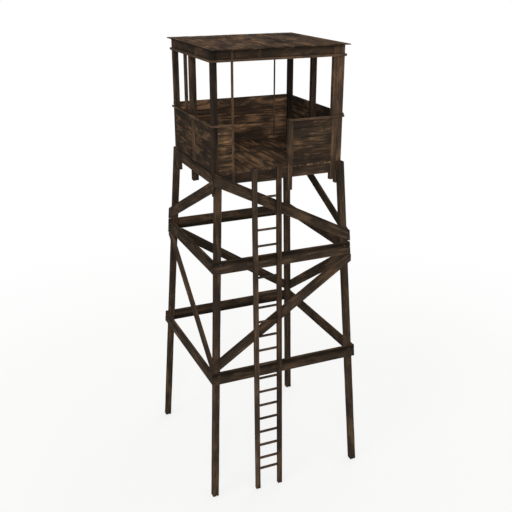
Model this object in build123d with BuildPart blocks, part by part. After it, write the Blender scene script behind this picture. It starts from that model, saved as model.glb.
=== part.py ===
import os
from math import hypot

from build123d import *

os.makedirs("parts", exist_ok=True)

# Watchtower of weathered timber, in millimetres.
# The front faces -Y, +Z is up, and the ground is at Z = 0.

# Tower frame
base_width = 3300.0
base_depth = 3374.0
leg_size = 130.0
floor_level = 6820.0
lower_girt_level = 2723.0
upper_girt_level = 5034.0
girt_height = 260.0
girt_thickness = 45.0
girt_overrun = 50.0
upper_brace_height = 236.0
lower_brace_height = 250.0
brace_clearance = 12.0
brace_rise = 50.0
left_brace_drop = 70.0
foot_lap = 65.0
front_head_lap = 108.0
back_head_lap = 218.0
side_head_lap = 148.0

# Cabin
cabin_width = 2700.0
cabin_depth = 2330.0
board_thickness = 30.0
deck_thickness = 40.0
beam_height = 195.0
joist_width = 60.0
joist_height = 140.0
joist_spacing = 776.0
parapet_height = 900.0
right_wall_extra = 35.0
back_wall_extra = 60.0
headroom = 2015.0
header_height = 215.0
post_size = 110.0
post_drop = 235.0
pocket_clearance = 1.0
mid_post_left_size = 120.0
mid_post_left_y = 160.0
mid_post_right_y = -45.0
stud_size = 62.0
stud_from_mid_post = 320.0

# Doorway in the front wall
door_from_corner = 405.0
door_spacing = 1187.0
door_post_left_size = 42.0
door_post_right_size = 92.0
door_post_right_drop = 265.0
end_post_drop = 155.0
end_post_gap = 6.0

# Rails and roof
rail_height = 40.0
rail_thickness = 30.0
head_rail_height = 45.0
roof_thickness = 25.0
roof_side_overhang = 50.0
roof_end_overhang = 145.0
roof_joist_height = 120.0
batten_width = 35.0
batten_thickness = 20.0
batten_from_corner = 420.0
batten_lift = 50.0

# Ladder
ladder_from_door = 588.0
ladder_foot_shift = -115.0
stile_spacing = 505.0
stile_width = 96.0
stile_depth = 75.0
stile_rise = 75.0
first_rung = 465.0
first_step = 250.0
rung_pitch = 308.0
even_rungs = 13
upper_rung_pitch = 320.0
upper_rungs = 7
rung_height = 40.0
rung_depth = 60.0

# The legs lean in so that at the floor their faces meet the front and the back of the
# cabin, and the braces nailed on their sides stay just outside the floor beams.
half_cabin_x = cabin_width / 2
half_cabin_y = cabin_depth / 2
inside_x = half_cabin_x - board_thickness
inside_y = half_cabin_y - board_thickness
beam_top = floor_level - deck_thickness
beam_bottom = beam_top - beam_height
leg_top_y = half_cabin_y + leg_size / 2
leg_top_x = half_cabin_x - leg_size / 2
brace_top = floor_level + brace_rise
batter_x = (base_width / 2 - leg_top_x) / brace_top
batter_y = (base_depth / 2 - leg_top_y) / floor_level
slope_x = hypot(1, batter_x)
slope_y = hypot(1, batter_y)
face_x = base_width / 2 + leg_size / 2
face_y = base_depth / 2 + leg_size / 2

# The ladder makes the front reach further than the back, so the tower stands back
# by half of the difference and the origin is under the middle of the whole.
front_reach = face_y + girt_thickness + stile_depth
tower_y = (front_reach - face_y) / 2

wall_top = floor_level + parapet_height
header_level = floor_level + headroom
roof_underside = header_level + header_height
door_left_x = -half_cabin_x + door_from_corner
door_right_x = door_left_x + door_spacing
batten_x = half_cabin_x - batten_from_corner
ladder_top_x = door_left_x + ladder_from_door
ladder_foot_x = ladder_top_x + ladder_foot_shift
stile_top = floor_level + stile_rise
ladder_lean = (ladder_top_x - ladder_foot_x) / stile_top


def save(builder, node):
    builder.part.label = node
    export_step(builder.part, f"parts/{node}.step")


def block(node, x, y, z):
    """A squared timber between two limits on each axis."""
    with BuildPart() as timber:
        with Locations((sum(x) / 2, sum(y) / 2 + tower_y, sum(z) / 2)):
            Box(x[1] - x[0], y[1] - y[0], z[1] - z[0])
    save(timber, node)


def blocks(node, boxes):
    """Like timbers that lie apart from each other, in one node."""
    with BuildPart() as timbers:
        for x, y, z in boxes:
            with Locations((sum(x) / 2, sum(y) / 2 + tower_y, sum(z) / 2)):
                Box(x[1] - x[0], y[1] - y[0], z[1] - z[0])
    save(timbers, node)


def centre_of_leg(side_x, side_y, level):
    """The leg's centre at a level, leaning in towards the cabin."""
    x = side_x * (base_width / 2 - batter_x * level)
    y = side_y * (base_depth / 2 - batter_y * level) + tower_y
    return (x, y)


def leg(node, side_x, side_y):
    with BuildPart() as timber:
        with BuildSketch(Plane.XY):
            with Locations(centre_of_leg(side_x, side_y, 0)):
                Rectangle(leg_size, leg_size)
        with BuildSketch(Plane.XY.offset(floor_level)):
            with Locations(centre_of_leg(side_x, side_y, floor_level)):
                Rectangle(leg_size, leg_size)
        loft(ruled=True)
    save(timber, node)


# Each side of the tower is one leaning plane, on which its planks are nailed.
# Seen from outside, its first direction runs to the right and its second one up.
SIDES = {
    "front": ((0, -face_y + tower_y, 0), (1, 0, 0), (0, -1, batter_y), (0, -1, 0)),
    "back": ((0, face_y + tower_y, 0), (-1, 0, 0), (0, 1, batter_y), (0, 1, 0)),
    "left": ((-face_x, tower_y, 0), (0, -1, 0), (-1, 0, batter_x), (-1, 0, 0)),
    "right": ((face_x, tower_y, 0), (0, 1, 0), (1, 0, batter_x), (1, 0, 0)),
}


def end_of_plank(side, level):
    """Half the length of a plank at a level: past the legs in front and behind, and
    up to the planks there on the other two sides."""
    if side in ("front", "back"):
        return face_x + girt_overrun - batter_x * level
    return face_y - batter_y * level


def plank(side, left_low, right_low, height, bay):
    """Adds a plank whose lower edge runs between two levels on one side. What would
    reach out of its bay is cut off, along the girt there."""
    slope = slope_y if side in ("front", "back") else slope_x
    left_high = left_low + height
    right_high = right_low + height
    corners = [
        (-end_of_plank(side, left_low), left_low * slope),
        (end_of_plank(side, right_low), right_low * slope),
        (end_of_plank(side, right_high), right_high * slope),
        (-end_of_plank(side, left_high), left_high * slope),
    ]
    origin, along, outward, level_out = SIDES[side]
    with BuildSketch(Plane(origin=origin, x_dir=along, z_dir=outward)) as outline:
        with BuildLine():
            Polyline(*corners, close=True)
        make_face()
        with Locations((0, sum(bay) / 2 * slope)):
            Rectangle(2 * base_width, (bay[1] - bay[0]) * slope, mode=Mode.INTERSECT)
    extrude(outline.sketch, amount=girt_thickness, dir=level_out)


def planks(node, lower_edges, height, bay):
    """Like planks of one ring. Each side has the levels of its plank's lower edge, at
    the left and at the right end seen from outside."""
    with BuildPart() as ring:
        for side, (left_low, right_low) in lower_edges.items():
            plank(side, left_low, right_low, height, bay)
    save(ring, node)


def girts(ring, level):
    """The level planks of one ring, on the ends and on the sides of the tower."""
    low = level - girt_height / 2
    bay = (low, low + girt_height)
    planks(f"{ring}_girts_ends", {"front": (low, low), "back": (low, low)}, girt_height, bay)
    planks(f"{ring}_girts_sides", {"left": (low, low), "right": (low, low)}, girt_height, bay)


# Legs
leg("leg_front_left", -1, -1)
leg("leg_front_right", 1, -1)
leg("leg_back_left", -1, 1)
leg("leg_back_right", 1, 1)

# Girts, two rings of planks
girts("lower", lower_girt_level)
girts("upper", upper_girt_level)

# Braces, one plank on each side of each bay, zigzagging around the tower. The lower
# ones are longer than their bays, so that their ends are cut to points at the girts.
lower_bay = (
    lower_girt_level + girt_height / 2 + brace_clearance,
    upper_girt_level - girt_height / 2 - brace_clearance,
)
upper_bay = (upper_girt_level + girt_height / 2 + brace_clearance, brace_top)
foot = lower_bay[0] - foot_lap
front_head, back_head, side_head = (
    lower_bay[1] + lap - lower_brace_height
    for lap in (front_head_lap, back_head_lap, side_head_lap)
)
top_head = upper_bay[1] - upper_brace_height
right_head = top_head - brace_rise
left_head = right_head - left_brace_drop
planks(
    "lower_braces_ends",
    {"front": (foot, front_head), "back": (foot, back_head)},
    lower_brace_height,
    lower_bay,
)
planks(
    "lower_braces_sides",
    {"left": (side_head, foot), "right": (side_head, lower_bay[0])},
    lower_brace_height,
    lower_bay,
)
planks(
    "upper_braces_ends",
    {"front": (top_head, upper_bay[0]), "back": (top_head, upper_bay[0])},
    upper_brace_height,
    upper_bay,
)
planks(
    "upper_braces_sides",
    {"left": (upper_bay[0], left_head), "right": (upper_bay[0], right_head)},
    upper_brace_height,
    upper_bay,
)


def mirrored(limits):
    return (-limits[1], -limits[0])


def spread(middle, width):
    return (middle - width / 2, middle + width / 2)


# Where the posts stand, as limits in X and Y. The front ones and the corner ones are
# flush with the boards' outer faces, and the other ones stand against the inner faces.
corner_x = (half_cabin_x - post_size, half_cabin_x)
corner_y = (half_cabin_y - post_size, half_cabin_y)
end_post_x = (corner_x[0] - end_post_gap - post_size, corner_x[0] - end_post_gap)
door_left = spread(door_left_x, door_post_left_size)
door_right = spread(door_right_x, door_post_right_size)
inside_left = (-inside_x, -inside_x + mid_post_left_size)
inside_right = (inside_x - post_size, inside_x)
front_left = (mirrored(corner_x), mirrored(corner_y))
front_right = (corner_x, mirrored(corner_y))
back_left = (mirrored(corner_x), corner_y)
back_right = (corner_x, corner_y)
end_place = (end_post_x, mirrored(corner_y))
mid_left = (inside_left, spread(mid_post_left_y, mid_post_left_size))
mid_right = (inside_right, spread(mid_post_right_y, post_size))
door_left_place = (door_left, (-half_cabin_y, -half_cabin_y + door_post_left_size))
door_right_place = (door_right, (-half_cabin_y, -half_cabin_y + door_post_right_size))

# Floor beams between the posts, joists and deck
beam_z = (beam_bottom, beam_top)
front_y = (-half_cabin_y, -inside_y)
back_y = (inside_y, half_cabin_y)
left_x = (-half_cabin_x, -inside_x)
right_x = (inside_x, half_cabin_x)
between_x = (-corner_x[0], corner_x[0])
between_y = (-corner_y[0], corner_y[0])
block("floor_beam_left", left_x, between_y, beam_z)
block("floor_beam_right", right_x, between_y, beam_z)
blocks("floor_beam_front", [
    ((-corner_x[0], door_left[0]), front_y, beam_z),
    ((door_left[1], door_right[0]), front_y, beam_z),
    ((door_right[1], end_post_x[0]), front_y, beam_z),
])
block("floor_beam_back", between_x, back_y, beam_z)


def joists(node, limits_z):
    """Two joists across the cabin, from side to side."""
    rows = [spread(row, joist_width) for row in (-joist_spacing / 2, joist_spacing / 2)]
    blocks(node, [((-inside_x, inside_x), row, limits_z) for row in rows])


joists("floor_joists", (beam_top - joist_height, beam_top))

through_deck = [
    front_left, front_right, back_left, back_right, end_place,
    mid_left, mid_right, door_left_place, door_right_place,
]
with BuildPart() as deck:
    with Locations((0, tower_y, floor_level - deck_thickness / 2)):
        Box(cabin_width, cabin_depth, deck_thickness)
    for x, y in through_deck:
        with Locations((sum(x) / 2, sum(y) / 2 + tower_y, floor_level - deck_thickness / 2)):
            Box(
                x[1] - x[0] + 2 * pocket_clearance,
                y[1] - y[0] + 2 * pocket_clearance,
                2 * deck_thickness,
                mode=Mode.SUBTRACT,
            )
save(deck, "floor_deck")

# Posts, most of them hanging lower than the floor beams
hanging = (beam_bottom - post_drop, roof_underside)
block("corner_post_front_left", *front_left, hanging)
block("corner_post_front_right", *front_right, hanging)
block("corner_post_back_left", *back_left, hanging)
block("corner_post_back_right", *back_right, hanging)
block("end_post_front", *end_place, (beam_bottom - end_post_drop, roof_underside))
block("mid_post_left", *mid_left, hanging)
block("mid_post_right", *mid_right, hanging)
block("door_post_left", *door_left_place, (beam_bottom, roof_underside))
block("door_post_right", *door_right_place, (beam_bottom - door_post_right_drop, wall_top))
stud_y = spread(mid_post_left_y + stud_from_mid_post, stud_size)
block("stud_left", (-inside_x, -inside_x + stud_size), stud_y, (floor_level, roof_underside))

# Parapet walls of boards between the posts
wall_z = (floor_level, wall_top)
right_top = wall_top + right_wall_extra
back_top = wall_top + back_wall_extra
block("wall_left", left_x, between_y, wall_z)
block("wall_right", right_x, between_y, (floor_level, right_top))
block("wall_front_left", (-corner_x[0], door_left[0]), front_y, wall_z)
block("wall_front_right", (door_right[1], end_post_x[0]), front_y, wall_z)
block("wall_back", between_x, back_y, (floor_level, back_top))

# Cap rails, thin battens along the top of the boards outside
rail_x = half_cabin_x + rail_thickness
rail_y = half_cabin_y + rail_thickness
front_rail_y = (-rail_y, -half_cabin_y)
back_rail_y = (half_cabin_y, rail_y)
left_rail_x = (-rail_x, -half_cabin_x)
right_rail_x = (half_cabin_x, rail_x)
side_rail_y = (-half_cabin_y, rail_y)
back_rail_x = (-half_cabin_x, half_cabin_x)
cap_z = (wall_top - rail_height, wall_top)
blocks("cap_rails_front", [
    ((-rail_x, door_left[1]), front_rail_y, cap_z),
    ((door_right[0], rail_x), front_rail_y, cap_z),
])
blocks("cap_rails_side", [
    (left_rail_x, side_rail_y, cap_z),
    (right_rail_x, side_rail_y, (right_top - rail_height, right_top)),
])
block("cap_rail_back", back_rail_x, back_rail_y, (back_top - rail_height, back_top))

# Headers under the roof between the posts, with a thin rail along their lower edge
header_z = (header_level, roof_underside)
blocks("headers_sides", [
    (left_x, between_y, header_z),
    (right_x, between_y, header_z),
])
blocks("headers_ends", [
    ((-corner_x[0], door_left[0]), front_y, header_z),
    ((door_left[1], end_post_x[0]), front_y, header_z),
    (between_x, back_y, header_z),
])
head_rail_z = (header_level, header_level + head_rail_height)
blocks("head_rails_ends", [
    ((-rail_x, rail_x), front_rail_y, head_rail_z),
    (back_rail_x, back_rail_y, head_rail_z),
])
blocks("head_rails_sides", [
    (left_rail_x, side_rail_y, head_rail_z),
    (right_rail_x, side_rail_y, head_rail_z),
])

# A batten on the inside of the back wall, up to the roof
batten_y = (inside_y - batten_thickness, inside_y)
batten_z = (floor_level + batten_lift, roof_underside)
block("back_batten", spread(batten_x, batten_width), batten_y, batten_z)

# Flat roof of planks on two joists
joists("roof_joists", (roof_underside - roof_joist_height, roof_underside))
roof_x = half_cabin_x + roof_side_overhang
roof_y = half_cabin_y + roof_end_overhang
roof_z = (roof_underside, roof_underside + roof_thickness)
block("roof_deck", (-roof_x, roof_x), (-roof_y, roof_y), roof_z)

# Ladder, leaning with the front girts and resting on them
stile_back = -face_y - girt_thickness + tower_y
inner_half = (stile_spacing - stile_width) / 2


def stile(node, from_middle):
    """A stile whose inner face is at a distance from the ladder's middle."""
    with BuildPart() as timber:
        for level in (0, stile_top):
            x = ladder_foot_x + ladder_lean * level + from_middle
            y = stile_back - stile_depth / 2 + batter_y * level
            with BuildSketch(Plane.XY.offset(level)):
                with Locations((x, y)):
                    Rectangle(stile_width, stile_depth)
        loft(ruled=True)
    save(timber, node)


stile("ladder_stile_left", -stile_spacing / 2)
stile("ladder_stile_right", stile_spacing / 2)

# The first step is short, and the upper rungs are a little further apart
rung_levels = [first_rung]
steps = [first_step] + [rung_pitch] * (even_rungs - 1) + [upper_rung_pitch] * upper_rungs
for step in steps:
    rung_levels.append(rung_levels[-1] + step)

with BuildPart() as rungs:
    for middle in rung_levels:
        low, high = spread(middle, rung_height)
        y = stile_back - stile_depth / 2 + batter_y * middle
        x_low = ladder_foot_x + ladder_lean * low
        x_high = ladder_foot_x + ladder_lean * high
        with BuildSketch(Plane(origin=(0, y, 0), x_dir=(1, 0, 0), z_dir=(0, -1, 0))) as end:
            with BuildLine():
                Polyline(
                    (x_low - inner_half, low),
                    (x_low + inner_half, low),
                    (x_high + inner_half, high),
                    (x_high - inner_half, high),
                    close=True,
                )
            make_face()
        extrude(end.sketch, amount=rung_depth / 2, both=True)
save(rungs, "ladder_rungs")
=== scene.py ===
import random
from math import atan2, ceil, hypot, radians

import bmesh
import bpy
from mathutils import Matrix, Vector


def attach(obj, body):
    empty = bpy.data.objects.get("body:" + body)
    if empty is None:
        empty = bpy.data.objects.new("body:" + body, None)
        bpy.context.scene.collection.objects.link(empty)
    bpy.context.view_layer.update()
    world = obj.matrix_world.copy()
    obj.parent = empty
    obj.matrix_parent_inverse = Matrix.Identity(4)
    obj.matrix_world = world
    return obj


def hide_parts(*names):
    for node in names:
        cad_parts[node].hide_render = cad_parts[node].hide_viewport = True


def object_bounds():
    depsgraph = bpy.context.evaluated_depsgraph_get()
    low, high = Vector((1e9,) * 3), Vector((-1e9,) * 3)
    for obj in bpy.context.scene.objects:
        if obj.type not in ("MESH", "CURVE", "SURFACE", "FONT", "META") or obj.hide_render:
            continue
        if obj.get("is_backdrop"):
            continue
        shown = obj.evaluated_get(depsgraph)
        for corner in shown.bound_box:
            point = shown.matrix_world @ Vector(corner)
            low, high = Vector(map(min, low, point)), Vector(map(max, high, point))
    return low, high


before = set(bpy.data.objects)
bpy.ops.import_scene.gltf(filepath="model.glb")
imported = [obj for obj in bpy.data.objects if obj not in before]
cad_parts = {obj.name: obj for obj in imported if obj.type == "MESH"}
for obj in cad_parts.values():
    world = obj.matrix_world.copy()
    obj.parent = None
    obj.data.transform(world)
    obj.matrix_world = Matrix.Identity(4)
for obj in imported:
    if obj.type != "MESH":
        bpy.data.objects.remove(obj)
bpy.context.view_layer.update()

# A timber watchtower with weathered wood, in metres. The front faces -Y.
CAMERA_PLACE = (-6.0296, -14.0380, 10.5373)
CAMERA_PITCH = 21.3107
CAMERA_TURN = -23.2029
CAMERA_LENS = 53.466
CAMERA_REACH = 500

WORLD_LIGHT = 0.7
FLOOR_RADIUS = 260
FLOOR_SIDES = 96
FLOOR_COLOUR = (236, 235, 232)
FLOOR_FADE = (4.0, 16.0)
FLOOR_WHITENESS = 0.72

AXES = "XYZ"
SEED = 41
chance = random.Random(SEED)


# Camera, light and floor

def shade(red, green, blue):
    """A colour written as on a screen, from 0 to 255, as the light it stands for."""
    levels = [level / 255 for level in (red, green, blue)]
    return [v / 12.92 if v <= 0.04045 else ((v + 0.055) / 1.055) ** 2.4 for v in levels] + [1.0]


def place_camera():
    camera = bpy.data.objects.new("camera", bpy.data.cameras.new("camera"))
    bpy.context.scene.collection.objects.link(camera)
    camera.location = CAMERA_PLACE
    camera.rotation_euler = (radians(90 - CAMERA_PITCH), 0, radians(CAMERA_TURN))
    camera.data.lens = CAMERA_LENS
    camera.data.clip_end = CAMERA_REACH
    bpy.context.scene.camera = camera


def soft_lamp(name, direction, strength, softness):
    """A lamp far away that shines from a direction, with soft shadows."""
    lamp = bpy.data.objects.new(name, bpy.data.lights.new(name, "SUN"))
    bpy.context.scene.collection.objects.link(lamp)
    lamp.data.energy = strength
    lamp.data.angle = radians(softness)
    lamp.rotation_euler = Vector(direction).to_track_quat("Z", "Y").to_euler()


def node_maker(tree):
    """A short way to add a node: its kind, its settings by name, and its inputs by name or place."""
    def make(kind, inputs=None, **settings):
        node = tree.nodes.new(kind)
        for key, value in settings.items():
            setattr(node, key, value)
        for key, value in (inputs or {}).items():
            socket = node.inputs[key]
            if isinstance(value, bpy.types.NodeSocket):
                tree.links.new(value, socket)
            else:
                socket.default_value = value
        return node
    return make


def light_the_world():
    """An even pale sky that is plain white where it is seen."""
    world = bpy.data.worlds.new("studio")
    bpy.context.scene.world = world
    world.use_nodes = True
    tree = world.node_tree
    tree.nodes.clear()
    make = node_maker(tree)
    path = make("ShaderNodeLightPath")
    seen = make("ShaderNodeMath",
                {0: path.outputs["Is Camera Ray"], 1: path.outputs["Is Glossy Ray"]}, operation="MAXIMUM")
    seen = make("ShaderNodeMath", {0: seen.outputs[0], 1: path.outputs["Is Transmission Ray"]},
                operation="MAXIMUM")
    strength = make("ShaderNodeMapRange",
                    {"Value": seen.outputs[0], "To Min": WORLD_LIGHT, "To Max": 1.0})
    sky = make("ShaderNodeBackground", {"Color": (1, 1, 1, 1), "Strength": strength.outputs[0]})
    make("ShaderNodeOutputWorld", {"Surface": sky.outputs[0]})


def lay_floor():
    """A pale floor that keeps the tower's shadow and fades into the white around it."""
    bpy.ops.object.select_all(action="DESELECT")
    bpy.ops.mesh.primitive_circle_add(vertices=FLOOR_SIDES, radius=FLOOR_RADIUS, fill_type="NGON")
    floor = bpy.context.active_object
    floor.name = "floor"
    material = bpy.data.materials.new("pale_floor")
    material.use_nodes = True
    tree = material.node_tree
    tree.nodes.clear()
    make = node_maker(tree)
    path = make("ShaderNodeLightPath")
    seen = make("ShaderNodeMath",
                {0: path.outputs["Is Camera Ray"], 1: path.outputs["Is Glossy Ray"]}, operation="MAXIMUM")
    place = make("ShaderNodeTexCoord")
    away = make("ShaderNodeVectorMath", {0: place.outputs["Object"]}, operation="LENGTH")
    fade = make("ShaderNodeMapRange",
                {"Value": away.outputs["Value"], "From Min": FLOOR_FADE[0], "From Max": FLOOR_FADE[1],
                 "To Min": FLOOR_WHITENESS, "To Max": 1.0}, interpolation_type="SMOOTHSTEP")
    share = make("ShaderNodeMath", {0: fade.outputs[0], 1: seen.outputs[0]}, operation="MULTIPLY")
    paint = make("ShaderNodeBsdfDiffuse", {"Color": shade(*FLOOR_COLOUR)})
    white = make("ShaderNodeEmission", {"Color": (1, 1, 1, 1), "Strength": 1.0})
    mixed = make("ShaderNodeMixShader", {0: share.outputs[0], 1: paint.outputs[0], 2: white.outputs[0]})
    make("ShaderNodeOutputMaterial", {"Surface": mixed.outputs[0]})
    floor.data.materials.append(material)
    floor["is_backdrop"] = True


# Finishes

GREYED = (56, 50, 43)
CRACK = (17, 13, 11)
# Colour of dirt and painted shade in the seams between boards
SEAM_DIRT_AND_SHADE = (24, 20, 17)
# Colour of dirt and painted shade inside notches, splits and grooves
CUT_DIRT_AND_SHADE = (20, 16, 13)
# Colour of sun bleaching and painted top light on upward faces
BLEACHED_AND_TOP_LIT = (98, 77, 58)
GREYED_SHARE = 0.35
STAINED_SHARE = 0.75
KNOT_SHARE = 0.7
CRACK_SHARE = 0.8
END_DIRT_SHARE = 0.45
CUT_DIRT_AND_SHADE_SHARE = 0.75
BLEACHED_AND_TOP_LIT_SHARE = 0.25

# Scales of the patterns along, across and through a timber
FIBRE_SCALE = (4.0, 130.0, 130.0)
BAND_SCALE = (1.5, 20.0, 20.0)
PATCH_SCALE = (1.7, 4.5, 4.5)
CHECK_SCALE = (0.7, 55.0, 55.0)
KNOT_SCALE = (1.3, 5.5, 5.5)
STAIN_SCALE = 1.9
SEED_SHIFT = (37.0, 23.0, 11.0)

# Where an effect starts and where it is full, as distances to a side or between patterns
KNOT_RADII = (0.13, 0.05)
CHECK_WIDTHS = (0.012, 0.0)
RUBBED_DEPTHS = (0.016, 0.003)
SEAM_DEPTHS = (0.014, 0.002)
END_DEPTHS = (0.16, 0.0)
CUT_DEPTHS = (0.010, 0.016)

BUMP_STRENGTH = 0.55
BUMP_DISTANCE = 0.006
WOOD_SHINE = 0.01
RUST_SCALE = 70.0
RUST_DARK = (44, 36, 32)
RUST_PALE = (74, 52, 38)


def weathered_wood(name, body, dark, streak, streak_share=0.5, dark_share=0.7, seam_shade_and_dirt=0.0, rub=0.5,
                   own_share=0.15):
    """Bare wood that has weathered: fibres along each timber, dark stains, pale tan streaks,
    checks, knots, worn arrises, dirt and painted shade in the seams and cuts, and tops paler from
    bleaching and painted top light. It follows the timber's own length."""
    material = bpy.data.materials.new(name)
    material.use_nodes = True
    tree = material.node_tree
    tree.nodes.clear()
    make = node_maker(tree)

    def math(operation, first, second=0.0, third=0.0, clamp=False):
        return make("ShaderNodeMath", {0: first, 1: second, 2: third},
                    operation=operation, use_clamp=clamp).outputs[0]

    def pattern(scale, detail, roughness, distortion):
        """Noise that follows the timber."""
        coordinates = make("ShaderNodeVectorMath", {0: grain, 1: scale}, operation="MULTIPLY")
        return make("ShaderNodeTexNoise", {"Vector": coordinates.outputs[0], "Scale": 1.0, "Detail": detail,
                                           "Roughness": roughness, "Distortion": distortion}).outputs[0]

    def between(value, low, high):
        return make("ShaderNodeMapRange", {"Value": value, "From Min": low, "From Max": high},
                    interpolation_type="SMOOTHSTEP").outputs[0]

    def mixed(factor, first, second, blend="MIX"):
        mix = make("ShaderNodeMix", {}, data_type="RGBA", blend_type=blend)
        for socket, value in zip((mix.inputs[0], mix.inputs[6], mix.inputs[7]), (factor, first, second)):
            if isinstance(value, bpy.types.NodeSocket):
                tree.links.new(value, socket)
            else:
                socket.default_value = value
        return mix.outputs[2]

    place = make("ShaderNodeAttribute", attribute_name="place").outputs["Vector"]
    half = make("ShaderNodeAttribute", attribute_name="half_size").outputs["Vector"]
    seed = make("ShaderNodeAttribute", attribute_name="timber_seed").outputs["Fac"]
    shift = make("ShaderNodeVectorMath", {0: SEED_SHIFT, "Scale": seed}, operation="SCALE").outputs[0]
    grain = make("ShaderNodeVectorMath", {0: place, 1: shift}, operation="ADD").outputs[0]
    everywhere = make("ShaderNodeTexCoord").outputs["Object"]
    normal = make("ShaderNodeSeparateXYZ", {0: make("ShaderNodeNewGeometry").outputs["Normal"]})

    # How near a point is to an arris: the middle one of its distances to the timber's sides
    inwards = make("ShaderNodeVectorMath", {0: place}, operation="ABSOLUTE").outputs[0]
    inwards = make("ShaderNodeVectorMath", {0: half, 1: inwards}, operation="SUBTRACT").outputs[0]
    sides = make("ShaderNodeSeparateXYZ", {0: inwards})
    near_two = math("MINIMUM", sides.outputs[1], sides.outputs[2])
    far_two = math("MAXIMUM", sides.outputs[1], sides.outputs[2])
    arris = math("MAXIMUM", near_two, math("MINIMUM", far_two, sides.outputs[0]))

    fibres = pattern(FIBRE_SCALE, detail=4.0, roughness=0.65, distortion=0.2)
    bands = pattern(BAND_SCALE, detail=4.0, roughness=0.55, distortion=0.45)
    patches = pattern(PATCH_SCALE, detail=3.0, roughness=0.55, distortion=0.4)
    stains = make("ShaderNodeTexNoise", {"Vector": everywhere, "Scale": STAIN_SCALE, "Detail": 4.0,
                                         "Roughness": 0.55}).outputs[0]
    checks = pattern(CHECK_SCALE, detail=2.0, roughness=0.5, distortion=0.1)
    from_check = math("ABSOLUTE", math("SUBTRACT", checks, 0.5))
    check_line = math("MULTIPLY", between(from_check, *CHECK_WIDTHS), between(patches, 0.42, 0.6))
    knot_place = make("ShaderNodeVectorMath", {0: grain, 1: KNOT_SCALE}, operation="MULTIPLY").outputs[0]
    knot_cells = make("ShaderNodeTexVoronoi", {"Vector": knot_place, "Scale": 1.0})
    knots = between(knot_cells.outputs["Distance"], *KNOT_RADII)
    own = make("ShaderNodeTexWhiteNoise", {"W": seed}, noise_dimensions="1D")

    # Some timbers are greyer than others, and each has darker and paler stretches
    colour = mixed(math("MULTIPLY", own.outputs["Value"], GREYED_SHARE), body, shade(*GREYED))
    stained = math("MULTIPLY", between(stains, 0.5, 0.66), STAINED_SHARE)
    darker = math("MAXIMUM", between(patches, 0.5, 0.34), stained)
    colour = mixed(math("MULTIPLY", darker, dark_share), colour, dark)
    colour = mixed(math("MULTIPLY", between(patches, 0.5, 0.7), streak_share), colour, streak)
    streaks = math("MULTIPLY", between(bands, 0.5, 0.66), between(stains, 0.56, 0.44))
    colour = mixed(math("MULTIPLY", streaks, streak_share), colour, streak)
    dark_streaks = math("MULTIPLY", between(bands, 0.46, 0.32), dark_share)
    colour = mixed(dark_streaks, colour, dark)
    colour = mixed(math("MULTIPLY", knots, KNOT_SHARE), colour, dark)
    colour = mixed(math("MULTIPLY", check_line, CRACK_SHARE), colour, shade(*CRACK))

    # Each timber has a tone of its own, and its fibres vary it finely
    own_tone = make("ShaderNodeSeparateColor", {0: own.outputs["Color"]}).outputs[1]
    tone = math("MULTIPLY", math("MULTIPLY_ADD", own_tone, 2 * own_share, 1 - own_share),
                math("MULTIPLY_ADD", fibres, 0.8, 0.6))
    tone_colour = make("ShaderNodeCombineXYZ", {0: tone, 1: tone, 2: tone}).outputs[0]
    colour = mixed(1.0, colour, tone_colour, "MULTIPLY")

    # Arrises are rubbed pale and ends are dirty; seams and cuts get dirt and painted shade, and tops are
    # bleached and get painted top light
    rubbed = math("MULTIPLY", between(arris, *RUBBED_DEPTHS), between(patches, 0.42, 0.58))
    colour = mixed(math("MULTIPLY", rubbed, rub), colour, streak)
    # Dirt and painted shade darken each board along its long edges, where the seams between boards lie
    seam_dirt_and_shade = math("MULTIPLY", between(sides.outputs[1], *SEAM_DEPTHS), seam_shade_and_dirt)
    colour = mixed(seam_dirt_and_shade, colour, shade(*SEAM_DIRT_AND_SHADE))
    end_dirt = math("MULTIPLY", between(sides.outputs[0], *END_DEPTHS), between(bands, 0.3, 0.6))
    colour = mixed(math("MULTIPLY", end_dirt, END_DIRT_SHARE), colour, dark)
    # Faces deep inside a timber's box, in its notches, splits and grooves, are darkened almost to black:
    # dirt and painted shade
    deep = math("MINIMUM", near_two, sides.outputs[0])
    cut_dirt_and_shade = math("MULTIPLY", between(deep, *CUT_DEPTHS), CUT_DIRT_AND_SHADE_SHARE)
    colour = mixed(cut_dirt_and_shade, colour, shade(*CUT_DIRT_AND_SHADE))
    # Upward faces turn paler: sun bleaching together with painted top light
    bleached_and_top_lit = math("MULTIPLY", between(normal.outputs[2], 0.4, 1.0), between(stains, 0.65, 0.4))
    colour = mixed(math("MULTIPLY", bleached_and_top_lit, BLEACHED_AND_TOP_LIT_SHARE), colour, shade(*BLEACHED_AND_TOP_LIT))

    height = math("ADD", math("MULTIPLY", fibres, 0.5), math("MULTIPLY", bands, 0.35))
    height = math("SUBTRACT", height, math("MULTIPLY", check_line, 0.8))
    bump = make("ShaderNodeBump",
                {"Height": height, "Strength": BUMP_STRENGTH, "Distance": BUMP_DISTANCE})
    roughness = math("MULTIPLY_ADD", fibres, 0.25, 0.68, clamp=True)
    wood = make("ShaderNodeBsdfPrincipled", {"Base Color": colour, "Roughness": roughness,
                                             "Specular IOR Level": WOOD_SHINE, "Normal": bump.outputs[0]})
    make("ShaderNodeOutputMaterial", {"Surface": wood.outputs[0]})
    return material


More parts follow.
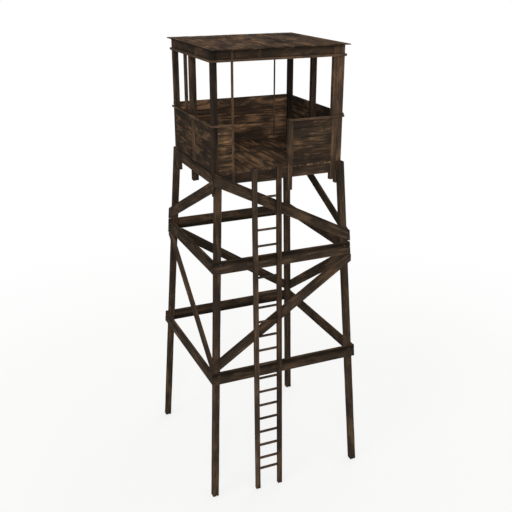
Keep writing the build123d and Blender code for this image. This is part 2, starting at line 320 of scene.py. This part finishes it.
def rusted_iron():
    """Iron that has been out in the rain, dull brown with darker spots."""
    material = bpy.data.materials.new("rusted_iron")
    material.use_nodes = True
    tree = material.node_tree
    tree.nodes.clear()
    make = node_maker(tree)
    place = make("ShaderNodeTexCoord").outputs["Object"]
    spots = make("ShaderNodeTexNoise",
                 {"Vector": place, "Scale": RUST_SCALE, "Detail": 5.0, "Roughness": 0.7})
    colour = make("ShaderNodeValToRGB", {0: spots.outputs[0]})
    colour.color_ramp.elements[0].position = 0.35
    colour.color_ramp.elements[0].color = shade(*RUST_DARK)
    colour.color_ramp.elements[1].position = 0.68
    colour.color_ramp.elements[1].color = shade(*RUST_PALE)
    bump = make("ShaderNodeBump", {"Height": spots.outputs[0], "Strength": 0.5, "Distance": 0.001})
    roughness = make("ShaderNodeMapRange", {"Value": spots.outputs[0], "To Min": 0.5, "To Max": 0.95})
    iron = make("ShaderNodeBsdfPrincipled", {"Base Color": colour.outputs[0], "Metallic": 0.35,
                                             "Roughness": roughness.outputs[0], "Normal": bump.outputs[0]})
    make("ShaderNodeOutputMaterial", {"Surface": iron.outputs[0]})
    return material


# Solids of the frame

def solids_of(node):
    """The corners of each solid in a node, gathered from the triangles that share them."""
    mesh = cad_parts[node].data
    groups = []
    for triangle in mesh.polygons:
        corners = {tuple(round(c, 5) for c in mesh.vertices[i].co) for i in triangle.vertices}
        touching = [group for group in groups if group & corners]
        groups = [group for group in groups if not group & corners] + [corners.union(*touching)]
    return sorted(sorted(group) for group in groups)


def ordered(solid, order):
    """Eight corners as [end][edge][face], by the axes that length, width and thickness follow."""
    length, width, thickness = (AXES.index(axis) for axis in order)
    by_end = sorted(solid, key=lambda c: c[length])
    result = []
    for end in (by_end[:4], by_end[4:]):
        by_edge = sorted(end, key=lambda c: c[width])
        result.append([sorted(edge, key=lambda c: c[thickness]) for edge in (by_edge[:2], by_edge[2:])])
    return result


def whole_plank(solid, order):
    """The eight corners that a brace had before it was cut level at the girts, where its
    long edges reach its ends, and the levels of its cuts."""
    along, across, through = (AXES.index(axis) for axis in order)
    outline = sorted({(c[along], c[across]) for c in solid})
    middle = [sum(p[i] for p in outline) / len(outline) for i in (0, 1)]
    outline.sort(key=lambda p: atan2(p[1] - middle[1], p[0] - middle[0]))
    edges = list(zip(outline, outline[1:] + outline[:1]))
    edges.sort(key=lambda e: hypot(e[1][0] - e[0][0], e[1][1] - e[0][1]))
    long_edges = sorted(edges[-2:], key=lambda e: e[0][1] + e[1][1])
    low, high = (min(c[across] for c in solid), max(c[across] for c in solid))
    ends = [f(p[0] for p in outline) for f in (min, max)]

    def depths(level):
        """The plank's two faces at a level. They lean as one."""
        base, top = (sorted(c[through] for c in solid if c[across] == edge) for edge in (low, high))
        share = (level - low) / (high - low)
        return [base[0] + (top[0] - base[0]) * share, base[-1] + (top[-1] - base[-1]) * share]

    corners = []
    for end in ends:
        pair = []
        for start, stop in long_edges:
            level = start[1] + (stop[1] - start[1]) * (end - start[0]) / (stop[0] - start[0])
            near = [p for p in outline if hypot(p[0] - end, p[1] - level) < 0.02]
            spot = near[0] if near else (end, level)
            faces = []
            for depth in depths(spot[1]):
                corner = [0.0, 0.0, 0.0]
                corner[along], corner[across], corner[through] = spot[0], spot[1], depth
                faces.append(tuple(corner))
            pair.append(faces)
        corners.append(pair)
    return corners, (low, high)


def box_corners(low, high):
    return [(x, y, z) for x in (low[0], high[0]) for y in (low[1], high[1]) for z in (low[2], high[2])]


# Timbers

WAVE_SIZE = 0.35
BEVEL_ANGLE = 50
SPLIT_PLACES = (0.25, 0.75)
SPLIT_REACHES = (0.12, 0.3)
SPLIT_WIDTHS = (0.002, 0.005)
SPLIT_DEPTHS_FROM_FIRST_FACE = (0.4, 0.65)
SPLIT_DEPTHS_FROM_SECOND_FACE = (0.35, 0.6)
SPLIT_SLANT = 0.02
SPLIT_TIP = 0.9
SPLIT_OVERLAP = 0.02
FACE_OVERLAP = 0.01


def deselect_all():
    bpy.ops.object.select_all(action="DESELECT")


def apply_modifier(piece, kind, **settings):
    bpy.context.view_layer.objects.active = piece
    modifier = piece.modifiers.new(kind.lower(), kind)
    for key, value in settings.items():
        setattr(modifier, key, value)
    bpy.ops.object.modifier_apply(modifier=modifier.name)


def wave_texture(name, size):
    """The slow waves of a worn face, as a texture that moves its points."""
    texture = bpy.data.textures.new(name, "CLOUDS")
    texture.noise_scale = size
    texture.noise_depth = 3
    return texture


def mark_grain(piece, corners):
    """Writes each point's place along, across and through its timber, for the finishes."""
    points = [Vector(c) for end in corners for edge in end for c in edge]
    centre = sum(points, Vector()) / 8
    along = (sum(points[4:], Vector()) - sum(points[:4], Vector())).normalized()
    out = sum(points[1::2], Vector()) - sum(points[0::2], Vector())
    out = (out - along * out.dot(along)).normalized()
    across = out.cross(along)
    directions = (along, across, out)
    half = [max(abs((p - centre).dot(direction)) for p in points) for direction in directions]
    attributes = piece.data.attributes
    attributes.new("place", "FLOAT_VECTOR", "POINT")
    attributes.new("half_size", "FLOAT_VECTOR", "POINT")
    attributes.new("timber_seed", "FLOAT", "POINT")
    places = []
    for vertex in piece.data.vertices:
        places.extend((vertex.co - centre).dot(direction) for direction in directions)
    count = len(piece.data.vertices)
    attributes["place"].data.foreach_set("vector", places)
    attributes["half_size"].data.foreach_set("vector", half * count)
    attributes["timber_seed"].data.foreach_set("value", [chance.random()] * count)


def cut_out(piece, low, high):
    """Cuts a notch with square sides out of a timber."""
    deselect_all()
    bpy.ops.mesh.primitive_cube_add(size=1, location=[(a + b) / 2 for a, b in zip(low, high)])
    cutter = bpy.context.active_object
    cutter.scale = [b - a for a, b in zip(low, high)]
    apply_modifier(piece, "BOOLEAN", object=cutter, operation="DIFFERENCE", solver="EXACT")
    bpy.data.objects.remove(cutter)


def split_end(piece, corners):
    """Opens a drying split in one end of a timber, from the end inwards."""
    end = chance.choice((0, 1))
    share = chance.uniform(*SPLIT_PLACES)
    near, far = corners[end], corners[1 - end]
    mouth = [Vector(near[0][face]).lerp(Vector(near[1][face]), share) for face in (0, 1)]
    inwards = (Vector(far[0][0]) - Vector(near[0][0])).normalized()
    across = (Vector(near[1][0]) - Vector(near[0][0])).normalized()
    through = (mouth[1] - mouth[0]).normalized()
    reach = chance.uniform(*SPLIT_REACHES)
    width = chance.uniform(*SPLIT_WIDTHS)
    slant = across * chance.uniform(-SPLIT_SLANT, SPLIT_SLANT)
    from_second_face = chance.choice((0, 1))
    if from_second_face:
        lower = mouth[0].lerp(mouth[1], chance.uniform(*SPLIT_DEPTHS_FROM_SECOND_FACE))
        upper = mouth[1] + through * FACE_OVERLAP
    else:
        lower = mouth[0] - through * FACE_OVERLAP
        upper = mouth[0].lerp(mouth[1], chance.uniform(*SPLIT_DEPTHS_FROM_FIRST_FACE))
    deselect_all()
    bpy.ops.mesh.primitive_cube_add(size=1)
    cutter = bpy.context.active_object
    for vertex in cutter.data.vertices:
        base = (upper if vertex.co.z > 0 else lower) - inwards * SPLIT_OVERLAP
        side = across * (width if vertex.co.y > 0 else -width)
        tip = inwards * reach + slant - side * SPLIT_TIP
        vertex.co = base + side + (tip if vertex.co.x > 0 else Vector())
    bpy.ops.object.mode_set(mode="EDIT")
    bpy.ops.mesh.select_all(action="SELECT")
    bpy.ops.mesh.normals_make_consistent(inside=False)
    bpy.ops.object.mode_set(mode="OBJECT")
    apply_modifier(piece, "BOOLEAN", object=cutter, operation="DIFFERENCE", solver="EXACT")
    bpy.data.objects.remove(cutter)


def timber(corners, wear=0.006, arris=0.004, loop_spacing=0.3, ragged=0.0, level_cuts=(),
           notches=(), splits=0):
    """One sawn timber, worn wavy by the weather, from its eight corners."""
    deselect_all()
    bpy.ops.mesh.primitive_cube_add(size=1)
    piece = bpy.context.active_object
    bpy.ops.object.mode_set(mode="EDIT")
    bpy.context.tool_settings.mesh_select_mode = (True, False, False)
    mesh = bmesh.from_edit_mesh(piece.data)
    targets = []
    for corner in mesh.verts:
        end, edge, face = (value > 0 for value in corner.co)
        target = Vector(corners[end][edge][face])
        inwards = (Vector(corners[not end][edge][face]) - target).normalized()
        targets.append((corner, target + inwards * chance.uniform(0, ragged)))
    long_edges = [e for e in mesh.edges if abs(e.verts[0].co.x - e.verts[1].co.x) > 0.5]
    for corner, target in targets:
        bpy.ops.mesh.select_all(action="DESELECT")
        corner.select_set(True)
        bpy.ops.transform.translate(value=target - corner.co)
    bpy.ops.mesh.select_all(action="DESELECT")
    bpy.context.tool_settings.mesh_select_mode = (False, True, False)
    for edge in long_edges:
        edge.select_set(True)
    loops = max(1, ceil(long_edges[0].calc_length() / loop_spacing))
    bpy.ops.mesh.subdivide(number_cuts=loops)
    for level, upwards in zip(level_cuts, (-1, 1)):
        bpy.ops.mesh.select_all(action="SELECT")
        bpy.ops.mesh.bisect(plane_co=(0, 0, level), plane_no=(0, 0, upwards), use_fill=True,
                            clear_outer=True)
    bpy.ops.mesh.select_all(action="SELECT")
    bpy.ops.mesh.normals_make_consistent(inside=False)
    bpy.ops.object.mode_set(mode="OBJECT")
    for low, high in notches:
        cut_out(piece, low, high)
    for _ in range(splits):
        split_end(piece, corners)
    apply_modifier(piece, "DISPLACE", texture=WAVES, texture_coords="GLOBAL", mid_level=1.0,
                   strength=wear)
    apply_modifier(piece, "BEVEL", width=arris, segments=2, limit_method="ANGLE",
                   angle_limit=radians(BEVEL_ANGLE))
    mark_grain(piece, corners)
    return piece


def joined(name, parts):
    """One piece out of several, with a name of its own."""
    deselect_all()
    for part in parts:
        part.select_set(True)
    bpy.context.view_layer.objects.active = parts[0]
    if len(parts) > 1:
        bpy.ops.object.join()
    piece = bpy.context.active_object
    piece.name = name
    piece.data.name = name
    return piece


def stand_for(node, parts, finish):
    """Gives the timbers of a node their finish, joins them and puts them in the node's place."""
    for part in parts:
        if not part.data.materials:
            part.data.materials.append(finish)
    piece = joined(f"{node}_timber", parts)
    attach(piece, "root")
    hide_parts(node)


def timbers_of(node, order):
    return [ordered(solid, order) for solid in solids_of(node)]


def dress(node, order, finish, **wear):
    """Puts a worn timber in the place of each solid of a node."""
    stand_for(node, [timber(corners, **wear) for corners in timbers_of(node, order)], finish)


def limits(node):
    """The lowest and the highest corner of a node."""
    corners = [corner for solid in solids_of(node) for corner in solid]
    return [[f(c[axis] for c in corners) for axis in range(3)] for f in (min, max)]


# Nails and bolts

# The proportions of the heads are shares of their radius
NAIL_SIDES = 7
NAIL_DEPTH = 0.3
CROWN_INSET = 0.45
CROWN_RISE = 0.28
WASHER_SIDES = 12
WASHER_DEPTH = 0.2
BOLT_RADIUS = 0.8
BOLT_DEPTH = 0.55
BOLT_RISE = 0.35
BOLT_ARRIS = 0.08


def outer_face(corners):
    """Which of a timber's two faces lies further from the tower's middle."""
    reach = [sum(hypot(edge[face][0], edge[face][1] - MIDDLE_Y) for end in corners for edge in end)
             for face in (0, 1)]
    return int(reach[1] > reach[0])


def spot_on(corners, from_end, share, face, end=0):
    """A point on a face of a timber, at a distance from one end, and the way out from there."""
    near, far = corners[end], corners[1 - end]
    edges = [(Vector(near[edge][face]), Vector(far[edge][face])) for edge in (0, 1)]
    reach = from_end / (edges[0][1] - edges[0][0]).length
    points = [start.lerp(stop, reach) for start, stop in edges]
    point = points[0].lerp(points[1], share)
    out = (edges[0][1] - edges[0][0]).cross(points[1] - points[0]).normalized()
    inner = Vector(near[0][1 - face])
    return point, out if (point - inner).dot(out) > 0 else -out


def nail_head(radius):
    """A forged head: a thin disc with a low faceted crown."""
    deselect_all()
    bpy.ops.mesh.primitive_cylinder_add(vertices=NAIL_SIDES, radius=radius, depth=radius * NAIL_DEPTH)
    head = bpy.context.active_object
    bpy.ops.object.mode_set(mode="EDIT")
    bpy.context.tool_settings.mesh_select_mode = (False, False, True)
    mesh = bmesh.from_edit_mesh(head.data)
    mesh.normal_update()
    for face in mesh.faces:
        face.select_set(face.normal.z > 0.9)
    bpy.ops.mesh.inset(thickness=radius * CROWN_INSET)
    bpy.ops.transform.translate(value=(0, 0, radius * CROWN_RISE))
    bpy.ops.object.mode_set(mode="OBJECT")
    return head


def bolt_head(radius):
    """A square head on a round washer, with its arrises taken off."""
    deselect_all()
    bpy.ops.mesh.primitive_cylinder_add(vertices=WASHER_SIDES, radius=radius,
                                        depth=radius * WASHER_DEPTH)
    washer = bpy.context.active_object
    deselect_all()
    bpy.ops.mesh.primitive_cylinder_add(vertices=4, radius=radius * BOLT_RADIUS,
                                        depth=radius * BOLT_DEPTH, location=(0, 0, radius * BOLT_RISE))
    head = bpy.context.active_object
    apply_modifier(head, "BEVEL", width=radius * BOLT_ARRIS, segments=1)
    return joined("bolt", [washer, head])


def drive(name, model, spots):
    """Sets a copy of a modelled head at each spot, turned at random, and joins them all."""
    copies = []
    for point, out in spots:
        copy = model.copy()
        copy.data = model.data.copy()
        bpy.context.scene.collection.objects.link(copy)
        turn = out.to_track_quat("Z", "Y").to_matrix().to_4x4()
        spin = Matrix.Rotation(chance.uniform(0, 3.0), 4, "Z")
        copy.data.transform(Matrix.Translation(point) @ turn @ spin @ model.matrix_basis)
        copy.matrix_basis = Matrix()
        copies.append(copy)
    bpy.data.objects.remove(model)
    piece = joined(name, copies)
    piece.data.materials.clear()
    piece.data.materials.append(IRON)
    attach(piece, "root")


# Rows of boards

SEAM_LAP = 0.002
WIDTH_SPREAD = 0.12
SET_BACK = 0.004
BOARD_WEAR = 0.0015
BOARD_ARRIS = 0.003
STRIP_WEAR = 0.002
STRIP_ARRIS = 0.004
NAIL_FROM_END = 0.03
NAIL_SHARES = (0.22, 0.78)
NAIL_DRIFT = 0.008
NAIL_SHARE_DRIFT = 0.06
NAIL_LINE_ROOM = 0.1


def rows_between(start, end, count, lap):
    """Where boards of slightly different widths start and stop, each lapping over the next."""
    shares = [1 + chance.uniform(-WIDTH_SPREAD, WIDTH_SPREAD) for _ in range(count)]
    room = end - start + lap * (count - 1)
    rows = []
    for share in shares:
        width = room * share / sum(shares)
        rows.append((start, start + width))
        start += width - lap
    return rows


def reaches(low, high, other_low, other_high):
    """Whether two boxes overlap."""
    return all(low[i] < other_high[i] and high[i] > other_low[i] for i in range(3))


def boards(solid, order, count, nails, nail_lines=(), nailed_face=None, uneven=0.003, lap=0.006,
           holes=(), strip=None):
    """Boards that fill one flat solid, along the first axis of the order and beside each
    other along the second. They are cut around the holes, reach into the posts at their
    ends by the lap, so that no light shows, and may meet at an upright strip."""
    low, high = ([f(c[axis] for c in solid) for axis in range(3)] for f in (min, max))
    length, width, thickness = (AXES.index(axis) for axis in order)
    stretches = [(low[length], high[length])]
    if strip:
        stretches = [(low[length], strip[0]), (strip[1], high[length])]
    result = []
    for row in rows_between(low[width], high[width], count, SEAM_LAP):
        for start, end in stretches:
            board_low, board_high = list(low), list(high)
            board_low[width], board_high[width] = row
            board_low[length] = start - lap + chance.uniform(0, uneven)
            board_high[length] = end + lap - chance.uniform(0, uneven)
            board_low[thickness] += chance.uniform(0, SET_BACK)
            board_high[thickness] -= chance.uniform(0, SET_BACK)
            corners = ordered(box_corners(board_low, board_high), order)
            notches = [hole for hole in holes if reaches(board_low, board_high, *hole)]
            result.append(timber(corners, wear=BOARD_WEAR, arris=BOARD_ARRIS, ragged=uneven,
                                 notches=notches))
            face = outer_face(corners) if nailed_face is None else nailed_face
            lines = [start + NAIL_FROM_END, end - NAIL_FROM_END]
            lines += [n for n in nail_lines if start + NAIL_LINE_ROOM < n < end - NAIL_LINE_ROOM]
            for line in lines:
                for share in NAIL_SHARES:
                    away = line - board_low[length] + chance.uniform(-NAIL_DRIFT, NAIL_DRIFT)
                    share += chance.uniform(-NAIL_SHARE_DRIFT, NAIL_SHARE_DRIFT)
                    spot = spot_on(corners, away, share, face)
                    if not any(reaches(spot[0], spot[0], *hole) for hole in holes):
                        nails.append(spot)
    if strip:
        board_low, board_high = list(low), list(high)
        board_low[length], board_high[length] = strip
        upright = order[1] + order[0] + order[2]
        corners = ordered(box_corners(board_low, board_high), upright)
        piece = timber(corners, wear=STRIP_WEAR, arris=STRIP_ARRIS)
        piece.data.materials.append(RAIL_WOOD)
        result.append(piece)
    return result


# Camera and lights

place_camera()
light_the_world()
lay_floor()
soft_lamp("key_lamp", (-1.0, -0.35, 1.0), strength=0.4, softness=25)
soft_lamp("fill_lamp", (-0.37, -0.86, 0.36), strength=1.2, softness=18)
soft_lamp("back_lamp", (0.9, 0.7, 0.9), strength=0.5, softness=40)
bpy.context.scene.view_settings.view_transform = "Standard"

# Measures of the frame, and the finishes with their body, dark and streak colours

MIDDLE_Y = (limits("floor_deck")[0][1] + limits("floor_deck")[1][1]) / 2
stile_end = ordered(solids_of("ladder_stile_left")[0], "ZXY")[0]
STILE_WIDTH = stile_end[1][0][0] - stile_end[0][0][0]
WAVES = wave_texture("waves", WAVE_SIZE)
LEG_WOOD = weathered_wood("leg_wood", shade(53, 43, 34), shade(38, 32, 28), shade(94, 73, 55))
BRACE_WOOD = weathered_wood("brace_wood", shade(54, 44, 35), shade(36, 31, 27), shade(96, 75, 56))
FRAME_WOOD = weathered_wood("frame_wood", shade(54, 43, 35), shade(36, 30, 26), shade(94, 73, 55))
# A darker copy of the frame wood: painted shade for corner posts that stand in shadow
SHADED_POST_WOOD = weathered_wood("shaded_post_wood", shade(38, 31, 26), shade(26, 22, 20), shade(66, 52, 41))
BOARD_WOOD = weathered_wood("board_wood", shade(49, 39, 31), shade(34, 29, 25), shade(118, 90, 65), 0.65,
                            seam_shade_and_dirt=0.75, rub=0.2, own_share=0.25)
PALE_WOOD = weathered_wood("pale_wood", shade(60, 47, 37), shade(40, 34, 29), shade(150, 114, 82), 0.8,
                           seam_shade_and_dirt=0.75, rub=0.2, own_share=0.25)
# A paler copy of the board wood: painted light that lifts the back wall's inner face out of the roof's
# shade
LIT_INNER_WOOD = weathered_wood("lit_inner_wood", shade(78, 61, 48), shade(48, 40, 35), shade(166, 127, 93), 0.7,
                            seam_shade_and_dirt=0.75, rub=0.2, own_share=0.25)
ROOF_WOOD = weathered_wood("roof_wood", shade(47, 36, 28), shade(28, 23, 19), shade(124, 92, 66), 0.75,
                           dark_share=0.55, seam_shade_and_dirt=0.95, rub=0.2, own_share=0.45)
FLOOR_WOOD = weathered_wood("floor_wood", shade(68, 54, 43), shade(42, 36, 31), shade(152, 117, 87), 0.75,
                            seam_shade_and_dirt=0.9, rub=0.2, own_share=0.25)
RAIL_WOOD = weathered_wood("rail_wood", shade(76, 60, 47), shade(52, 44, 37), shade(120, 93, 71))
LADDER_WOOD = weathered_wood("ladder_wood", shade(62, 51, 41), shade(42, 36, 31), shade(100, 79, 61))
IRON = rusted_iron()

nails = []
spikes = []
bolts = []

# Legs, girts and braces
LEGS = ("leg_front_left", "leg_front_right", "leg_back_left", "leg_back_right")
for node in LEGS:
    dress(node, "ZXY", LEG_WOOD, wear=0.008, arris=0.007, ragged=0.006, splits=3)
FROM_END = {"ends": 0.115, "sides": 0.065}
BOLT_PAIR = ((-0.03, 0.27), (0.03, 0.73))
SPIKE_SQUARE = ((-0.03, 0.3), (0.03, 0.3), (-0.03, 0.7), (0.03, 0.7))
CUT_ROOM = 0.03
for ring in ("lower_girts", "upper_girts"):
    for run, order in (("ends", "XZY"), ("sides", "YZX")):
        node = f"{ring}_{run}"
        planks = timbers_of(node, order)
        stand_for(node, [timber(plank, ragged=0.006, splits=2) for plank in planks], BRACE_WOOD)
        for plank in planks:
            for end in (0, 1):
                for away, share in BOLT_PAIR:
                    away += FROM_END[run]
                    bolts.append(spot_on(plank, away, share, outer_face(plank), end))
for ring in ("lower_braces", "upper_braces"):
    for run, order in (("ends", "XZY"), ("sides", "YZX")):
        node = f"{ring}_{run}"
        planks = [whole_plank(solid, order) for solid in solids_of(node)]
        stand_for(node, [timber(plank, level_cuts=cuts) for plank, cuts in planks], BRACE_WOOD)
        for plank, (low, high) in planks:
            for end in (0, 1):
                for away, share in SPIKE_SQUARE:
                    spot = spot_on(plank, FROM_END[run] + away, share, outer_face(plank), end)
                    if low + CUT_ROOM < spot[0].z < high - CUT_ROOM:
                        spikes.append(spot)

# Posts, beams and joists of the cabin
BEAM_WEAR = 0.0015
POST_SPIKE_SHARES = (0.3, 0.7)
POST_SPIKE_HEIGHT = 0.3
POST_SPIKE_STEP = 0.08
CORNER_POSTS = ("corner_post_front_left", "corner_post_front_right", "corner_post_back_left",
                "corner_post_back_right")
# Two corner posts take the darker wood, which paints shade on them
POST_WOODS = {"end_post_front": RAIL_WOOD, "corner_post_front_right": RAIL_WOOD,
              "corner_post_front_left": SHADED_POST_WOOD, "corner_post_back_right": SHADED_POST_WOOD}
for node in CORNER_POSTS + ("end_post_front", "mid_post_left", "mid_post_right"):
    finish = POST_WOODS.get(node, FRAME_WOOD)
    dress(node, "ZXY", finish, wear=0.005, arris=0.006, ragged=0.012, splits=1)
for node in ("door_post_left", "door_post_right", "stud_left", "back_batten"):
    dress(node, "ZXY", RAIL_WOOD, wear=0.003, arris=0.005, ragged=0.006)
for node in ("floor_beam_front", "floor_beam_back", "floor_joists", "roof_joists"):
    dress(node, "XZY", FRAME_WOOD, wear=BEAM_WEAR)
for node in ("floor_beam_left", "floor_beam_right"):
    dress(node, "YZX", FRAME_WOOD, wear=BEAM_WEAR)
for node in CORNER_POSTS:
    for post in timbers_of(node, "ZXY") + timbers_of(node, "ZYX"):
        for share in POST_SPIKE_SHARES:
            away = POST_SPIKE_HEIGHT + share * POST_SPIKE_STEP
            spikes.append(spot_on(post, away, share, outer_face(post)))

# Boards of the parapet, the headers, the floor and the roof
WALL_ROWS = 5
FLOOR_ROWS = 18
ROOF_ROWS = 19
END_WALL_NAILS = (-0.4, 0.45)

# Where the upright strips start and stop along their walls
RIGHT_POST = [limit[1] for limit in limits("mid_post_right")]
LEFT_STRIP = (-0.09, 0.07)
LEFT_HEADER_STRIP = (-0.32, -0.21)
FRONT_HEADER_STRIP = (-0.44, -0.385)
BACK_HEADER_STRIP = (0.10, 0.16)

# The back wall takes the paler wood, which paints light on its inner face
for node, finish in (("wall_front_left", PALE_WOOD), ("wall_front_right", BOARD_WOOD),
                     ("wall_back", LIT_INNER_WOOD)):
    rows = boards(solids_of(node)[0], "XZY", WALL_ROWS, nails, nail_lines=END_WALL_NAILS)
    stand_for(node, rows, finish)
for node, strip in (("wall_left", LEFT_STRIP), ("wall_right", RIGHT_POST)):
    stand_for(node, boards(solids_of(node)[0], "YZX", WALL_ROWS, nails, strip=strip), BOARD_WOOD)
door_edge = limits("door_post_left")[1][0]
header_low, header_high = limits("headers_ends")
GROOVE_WIDTH = 0.03
GROOVE_DEPTH = 0.015
GROOVE_FROM_POST = 0.004
GROOVE_FROM_BOTTOM = 0.02
GROOVE_FROM_TOP = 0.01
PAST_FACE = 0.1
groove_start = door_edge + GROOVE_FROM_POST
groove = ([groove_start, header_low[1] - PAST_FACE, header_low[2] + GROOVE_FROM_BOTTOM],
          [groove_start + GROOVE_WIDTH, header_low[1] + GROOVE_DEPTH, header_high[2] - GROOVE_FROM_TOP])
parts = []
for solid, strip in zip(solids_of("headers_ends"), (None, BACK_HEADER_STRIP, FRONT_HEADER_STRIP)):
    parts += boards(solid, "XZY", 1, nails, holes=[groove], strip=strip)
stand_for("headers_ends", parts, FRAME_WOOD)
parts = []
for solid, strip in zip(solids_of("headers_sides"), (LEFT_HEADER_STRIP, RIGHT_POST)):
    parts += boards(solid, "YZX", 1, nails, strip=strip)
stand_for("headers_sides", parts, FRAME_WOOD)

deck_low, deck_high = limits("floor_deck")
CLEARANCE = 0.001
holes = []
for node in CORNER_POSTS + ("end_post_front", "mid_post_left", "mid_post_right", "door_post_left",
                            "door_post_right"):
    low, high = limits(node)
    holes.append(([low[0] - CLEARANCE, low[1] - CLEARANCE, deck_low[2] - PAST_FACE],
                  [high[0] + CLEARANCE, high[1] + CLEARANCE, deck_high[2] + PAST_FACE]))
JOIST_ROWS = [sum(c[1] for c in solid) / 8 for solid in solids_of("floor_joists")]
TOP_FACE = 1
rows = boards(box_corners(deck_low, deck_high), "YXZ", FLOOR_ROWS, nails, nail_lines=JOIST_ROWS,
              nailed_face=TOP_FACE, uneven=0.001, lap=0.0, holes=holes)
stand_for("floor_deck", rows, FLOOR_WOOD)

# The roof's boards lie low enough for their nail heads to stay under the top of the frame's roof
NAIL_RISE = 0.003
roof_low, roof_high = limits("roof_deck")
roof_high[2] -= NAIL_RISE
rows = boards(box_corners(roof_low, roof_high), "YXZ", ROOF_ROWS, nails, nail_lines=JOIST_ROWS,
              nailed_face=TOP_FACE, uneven=0.014, lap=0.0)
stand_for("roof_deck", rows, ROOF_WOOD)

# Rails
RAIL_NAIL_SPACING = 0.45
RAIL_NAIL_FROM_END = 0.05
for node, order in (("cap_rails_front", "XZY"), ("cap_rail_back", "XZY"), ("head_rails_ends", "XZY"),
                    ("cap_rails_side", "YZX"), ("head_rails_sides", "YZX")):
    rails = timbers_of(node, order)
    stand_for(node, [timber(rail, wear=0.004, arris=0.004, ragged=0.006) for rail in rails], RAIL_WOOD)
    for rail in rails:
        length = (Vector(rail[1][0][0]) - Vector(rail[0][0][0])).length
        count = max(2, ceil(length / RAIL_NAIL_SPACING))
        for step in range(count):
            away = RAIL_NAIL_FROM_END + (length - 2 * RAIL_NAIL_FROM_END) * step / (count - 1)
            nails.append(spot_on(rail, away, 0.5, outer_face(rail)))

# Ladder
STILE_BOLT_SHARES = (0.35, 0.65)
STILE_BOLT_FROM_EDGE = 0.08
RUNG_NAIL_BACK = 0.03
for node, finish in (("ladder_stile_left", LADDER_WOOD), ("ladder_stile_right", FRAME_WOOD)):
    dress(node, "ZXY", finish, wear=0.004, arris=0.008, ragged=0.006, splits=1)
    stile = timbers_of(node, "ZXY")[0]
    for ring in ("lower_girts_ends", "upper_girts_ends"):
        low, high = limits(ring)
        levels = (low[2] + STILE_BOLT_FROM_EDGE, high[2] - STILE_BOLT_FROM_EDGE)
        for share, level in zip(STILE_BOLT_SHARES, levels):
            bolts.append(spot_on(stile, level, share, 0))
dress("ladder_rungs", "XYZ", LADDER_WOOD, wear=0.003, arris=0.014, loop_spacing=0.12)
for rung in timbers_of("ladder_rungs", "XZY"):
    for end, outwards in ((0, Vector((-1, 0, 0))), (1, Vector((1, 0, 0)))):
        point = spot_on(rung, 0.0, 0.5, 0, end)[0]
        nails.append((point + outwards * STILE_WIDTH + Vector((0, RUNG_NAIL_BACK, 0)), outwards))

# Nails, spikes and bolts
NAIL_RADIUS = 0.006
SPIKE_RADIUS = 0.011
WASHER_RADIUS = 0.02
drive("board_nails", nail_head(NAIL_RADIUS), nails)
drive("brace_spikes", nail_head(SPIKE_RADIUS), spikes)
drive("girt_bolts", bolt_head(WASHER_RADIUS), bolts)

low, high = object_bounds()
